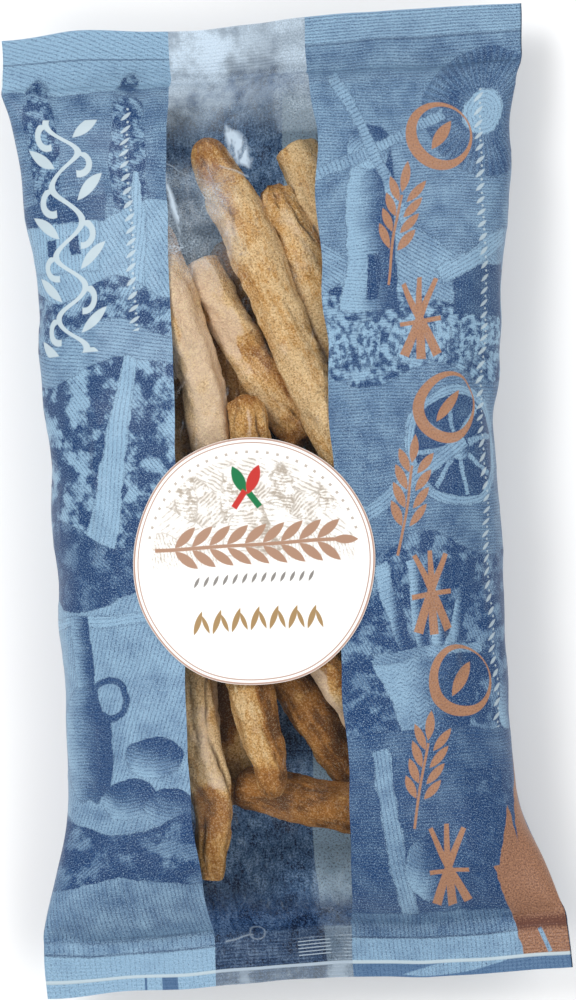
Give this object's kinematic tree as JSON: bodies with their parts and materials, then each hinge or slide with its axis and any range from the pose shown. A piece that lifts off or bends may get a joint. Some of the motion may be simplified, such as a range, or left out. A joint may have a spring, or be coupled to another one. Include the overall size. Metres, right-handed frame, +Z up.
{
  "type": "grissini breadstick pack",
  "caption": "Sealed pillow pack of hand-pulled breadsticks: printed film with a clear window strip, pressed fins at both ends and a round label.",
  "frame": {"origin": "under the middle of the pack, on the table that its back lies on", "axes": "+Z up out of the front with the clear window, +Y along the pack towards its top end, +X across it to the right"},
  "size_m": [0.14, 0.256, 0.0495],
  "materials": {
    "printed_film": "satin printed film",
    "clear_film": "clear glossy film",
    "label_paper": "smooth coated paper",
    "breadstick_crust": "dry matt crust"
  },
  "bodies": {
    "root": {"bag": "printed_film", "label": "label_paper"}
  },
  "joints": []
}
